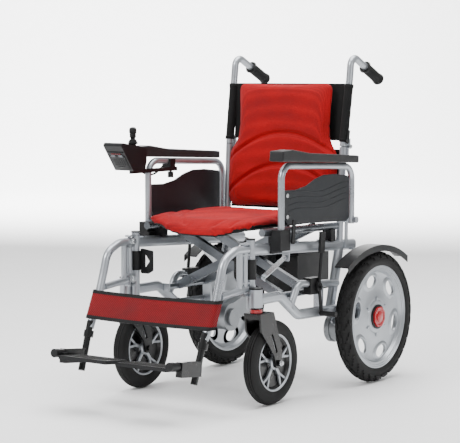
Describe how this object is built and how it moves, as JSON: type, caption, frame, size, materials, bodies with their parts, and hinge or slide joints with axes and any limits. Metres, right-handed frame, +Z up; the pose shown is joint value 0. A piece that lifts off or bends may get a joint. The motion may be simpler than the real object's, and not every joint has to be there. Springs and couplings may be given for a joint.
{
  "type": "power wheelchair",
  "caption": "Folding power wheelchair with cross brace, driven rear wheels, swivel castors, flip-up armrests, folding back, swing-away legrests and a joystick controller.",
  "frame": {"origin": "on the floor, midway between the two sides and midway between the front of the footplate knobs and the back of the rear wheels", "axes": "+Z up, +Y towards the back of the chair (the way the push handles point), +X towards the occupant's left hand side"},
  "size_m": [0.624, 1.1612, 1.0214],
  "materials": {
    "frame_paint": "satin silver paint",
    "brace_paint": "satin",
    "bright_metal": "polished",
    "black_plastic": "moulded matte",
    "fork_black": "satin black paint",
    "rim_silver": "machined satin",
    "tyre_rubber": "block tread rubber",
    "motor_metal": "cast",
    "guard_plastic": "moulded satin",
    "panel_plastic": "moulded",
    "arm_foam": "skinned foam",
    "seat_fabric": "red knitted cover",
    "strap_fabric": "twill webbing",
    "grip_rubber": "ribbed",
    "case_plastic": "moulded",
    "battery_plastic": "moulded",
    "button_plastic": "moulded",
    "cable_rubber": "sheath",
    "cap_red": "moulded red"
  },
  "bodies": {
    "left_frame": {"side_frame_left": "frame_paint", "frame_fittings_left": "black_plastic", "drive_motor_left": "motor_metal", "mudguard_left": "guard_plastic", "arm_socket_left": "black_plastic", "back_lower": "seat_fabric"},
    "right_frame": {"side_frame_right": "frame_paint", "frame_fittings_right": "black_plastic", "drive_motor_right": "motor_metal", "mudguard_right": "guard_plastic", "arm_socket_right": "black_plastic"},
    "brace_a": {"brace_arm_a": "brace_paint"},
    "brace_b": {"brace_arm_b": "brace_paint"},
    "seat": {"seat_cushion": "seat_fabric"},
    "tray": {"battery_tray": "fork_black"},
    "battery": {"battery_case": "battery_plastic"},
    "link_left": {"fold_link_left": "bright_metal"},
    "wheel_left": {"wheel_tyre_left": "tyre_rubber", "wheel_rim_left": "rim_silver", "hub_cap_left": "cap_red"},
    "castor_left": {"castor_fork_left": "fork_black"},
    "castor_wheel_left": {"castor_tyre_left": "tyre_rubber", "castor_rim_left": "rim_silver"},
    "brake_left": {"brake_lever_left": "black_plastic"},
    "arm_left": {"arm_tube_left": "frame_paint", "arm_pad_left": "arm_foam", "side_panel_left": "panel_plastic"},
    "back_left": {"cane_upper_left": "frame_paint", "push_grip_left": "grip_rubber", "back_upper": "seat_fabric"},
    "leg_left": {"hanger_left": "frame_paint", "leg_tube_left": "fork_black"},
    "release_left": {"release_plate_left": "black_plastic"},
    "pin_left": {"plate_pin_left": "bright_metal"},
    "plate_left": {"footplate_left": "guard_plastic"},
    "link_right": {"fold_link_right": "bright_metal"},
    "wheel_right": {"wheel_tyre_right": "tyre_rubber", "wheel_rim_right": "rim_silver", "hub_cap_right": "cap_red"},
    "castor_right": {"castor_fork_right": "fork_black"},
    "castor_wheel_right": {"castor_tyre_right": "tyre_rubber", "castor_rim_right": "rim_silver"},
    "brake_right": {"brake_lever_right": "black_plastic"},
    "arm_right": {"arm_tube_right": "frame_paint", "arm_pad_right": "arm_foam", "side_panel_right": "panel_plastic", "controller_case": "case_plastic", "controller_cable": "cable_rubber"},
    "back_right": {"cane_upper_right": "frame_paint", "push_grip_right": "grip_rubber"},
    "leg_right": {"hanger_right": "frame_paint", "leg_tube_right": "fork_black", "calf_strap": "strap_fabric"},
    "release_right": {"release_plate_right": "black_plastic"},
    "pin_right": {"plate_pin_right": "bright_metal"},
    "plate_right": {"footplate_right": "guard_plastic"},
    "stick": {"joystick": "black_plastic"},
    "power": {"power_button": "button_plastic"},
    "horn": {"horn_button": "button_plastic"},
    "back_release": {"back_release_lever": "black_plastic"}
  },
  "joints": [
    {"name": "fold", "type": "hinge", "parent": "left_frame", "child": "brace_a", "pos_m": [0.205, 0.059, 0.305], "axis": [0, 1, 0], "range_deg": [0, 36], "deforming": ["seat_cushion", "back_lower", "back_upper", "calf_strap"]},
    {"name": "brace_cross", "type": "hinge", "parent": "brace_a", "child": "brace_b", "pos_m": [0, 0.059, 0.4015], "axis": [0, 1, 0], "range_deg": [-72, 0]},
    {"name": "right_side", "type": "hinge", "parent": "brace_b", "child": "right_frame", "pos_m": [-0.205, 0.059, 0.305], "axis": [0, 1, 0], "range_deg": [0, 36]},
    {"name": "seat_level", "type": "hinge", "parent": "brace_b", "child": "seat", "pos_m": [0.205, 0.059, 0.498], "axis": [0, 1, 0], "range_deg": [0, 36]},
    {"name": "tray_level", "type": "hinge", "parent": "brace_a", "child": "tray", "pos_m": [0, 0.236, 0.4015], "axis": [0, 1, 0], "range_deg": [-36, 0]},
    {"name": "link_left_turn", "type": "hinge", "parent": "left_frame", "child": "link_left", "pos_m": [0.205, -0.009, 0.418], "axis": [0, 1, 0], "range_deg": [0, 72]},
    {"name": "link_right_turn", "type": "hinge", "parent": "right_frame", "child": "link_right", "pos_m": [-0.205, 0.129, 0.418], "axis": [0, 1, 0], "range_deg": [-72, 0]},
    {"name": "battery_slide", "type": "slide", "parent": "tray", "child": "battery", "axis": [0, 1, 0], "range_m": [0, 0.2]},
    {"name": "wheel_left_spin", "type": "hinge", "parent": "left_frame", "child": "wheel_left", "pos_m": [0.285, 0.376, 0.205], "axis": [1, 0, 0], "continuous": true},
    {"name": "castor_left_swivel", "type": "hinge", "parent": "left_frame", "child": "castor_left", "pos_m": [0.24, -0.209, 0.31], "axis": [0, 0, 1], "continuous": true},
    {"name": "castor_left_spin", "type": "hinge", "parent": "castor_left", "child": "castor_wheel_left", "pos_m": [0.24, -0.134, 0.1245], "axis": [1, 0, 0], "continuous": true},
    {"name": "brake_left_lever", "type": "hinge", "parent": "left_frame", "child": "brake_left", "pos_m": [0.248, 0.114, 0.322], "axis": [1, 0, 0], "range_deg": [0, 30]},
    {"name": "arm_left_flip", "type": "hinge", "parent": "left_frame", "child": "arm_left", "pos_m": [0.246, 0.3, 0.513], "axis": [-1, 0, 0], "range_deg": [0, 100]},
    {"name": "leg_left_swing", "type": "hinge", "parent": "left_frame", "child": "leg_left", "pos_m": [0.212, -0.227, 0.4], "axis": [0, 0, -1], "range_deg": [-55, 0]},
    {"name": "release_left_push", "type": "hinge", "parent": "left_frame", "child": "release_left", "pos_m": [0.212, -0.196, 0.4], "axis": [0, 0, -1], "range_deg": [0, 20], "stiffness_Nm_per_rad": 1.5},
    {"name": "pin_left_turn", "type": "hinge", "parent": "leg_left", "child": "pin_left", "pos_m": [0.207, -0.569, 0.167], "axis": [0, -0.9945, 0.1045], "range_deg": [-90.01, 0]},
    {"name": "footplate_left_flip", "type": "hinge", "parent": "pin_left", "child": "plate_left", "pos_m": [0.207, -0.569, 0.167], "axis": [0, -0.9945, 0.1045], "range_deg": [-90, 0]},
    {"name": "wheel_right_spin", "type": "hinge", "parent": "right_frame", "child": "wheel_right", "pos_m": [-0.285, 0.376, 0.205], "axis": [1, 0, 0], "continuous": true},
    {"name": "castor_right_swivel", "type": "hinge", "parent": "right_frame", "child": "castor_right", "pos_m": [-0.24, -0.209, 0.31], "axis": [0, 0, -1], "continuous": true},
    {"name": "castor_right_spin", "type": "hinge", "parent": "castor_right", "child": "castor_wheel_right", "pos_m": [-0.24, -0.134, 0.1245], "axis": [1, 0, 0], "continuous": true},
    {"name": "brake_right_lever", "type": "hinge", "parent": "right_frame", "child": "brake_right", "pos_m": [-0.248, 0.114, 0.322], "axis": [1, 0, 0], "range_deg": [0, 30]},
    {"name": "arm_right_flip", "type": "hinge", "parent": "right_frame", "child": "arm_right", "pos_m": [-0.246, 0.3, 0.513], "axis": [-1, 0, 0], "range_deg": [0, 55]},
    {"name": "leg_right_swing", "type": "hinge", "parent": "right_frame", "child": "leg_right", "pos_m": [-0.212, -0.227, 0.4], "axis": [0, 0, 1], "range_deg": [-55, 0]},
    {"name": "release_right_push", "type": "hinge", "parent": "right_frame", "child": "release_right", "pos_m": [-0.212, -0.196, 0.4], "axis": [0, 0, 1], "range_deg": [0, 20], "stiffness_Nm_per_rad": 1.5},
    {"name": "pin_right_turn", "type": "hinge", "parent": "leg_right", "child": "pin_right", "pos_m": [-0.207, -0.569, 0.167], "axis": [0, 0.9945, -0.1045], "range_deg": [-90.01, 0]},
    {"name": "footplate_right_flip", "type": "hinge", "parent": "pin_right", "child": "plate_right", "pos_m": [-0.207, -0.569, 0.167], "axis": [0, 0.9945, -0.1045], "range_deg": [-90, 0]},
    {"name": "back_left_fold", "type": "hinge", "parent": "left_frame", "child": "back_left", "pos_m": [0.216, 0.315, 0.738], "axis": [-1, 0, 0], "range_deg": [0, 90]},
    {"name": "back_right_fold", "type": "hinge", "parent": "right_frame", "child": "back_right", "pos_m": [-0.216, 0.315, 0.738], "axis": [-1, 0, 0], "range_deg": [0, 90]},
    {"name": "back_release_pull", "type": "hinge", "parent": "back_left", "child": "back_release", "pos_m": [0.232, 0.297, 0.754], "axis": [1, 0, 0], "range_deg": [0, 25], "stiffness_Nm_per_rad": 0.2},
    {"name": "joystick_tilt", "type": "hinge", "parent": "arm_right", "child": "stick", "pos_m": [-0.24, -0.172, 0.739], "axis": [1, 0, 0], "range_deg": [-16, 16], "stiffness_Nm_per_rad": 0.2},
    {"name": "power_button_press", "type": "slide", "parent": "arm_right", "child": "power", "axis": [0, 0.8028, 0.5962], "range_m": [0, 0.001], "stiffness_N_per_m": 500},
    {"name": "horn_button_press", "type": "slide", "parent": "arm_right", "child": "horn", "axis": [0, 0.8028, 0.5962], "range_m": [0, 0.001], "stiffness_N_per_m": 500}
  ],
  "couplings": [
    {"joint": "brace_cross", "follows": "fold", "ratio": -2},
    {"joint": "right_side", "follows": "fold", "ratio": 1},
    {"joint": "seat_level", "follows": "fold", "ratio": 1},
    {"joint": "tray_level", "follows": "fold", "ratio": -1},
    {"joint": "link_left_turn", "follows": "fold", "ratio": 2},
    {"joint": "link_right_turn", "follows": "fold", "ratio": -2},
    {"joint": "pin_left_turn", "follows": "fold", "ratio": -2.5},
    {"joint": "pin_right_turn", "follows": "fold", "ratio": -2.5},
    {"joint": "back_right_fold", "follows": "back_left_fold", "ratio": 1}
  ]
}
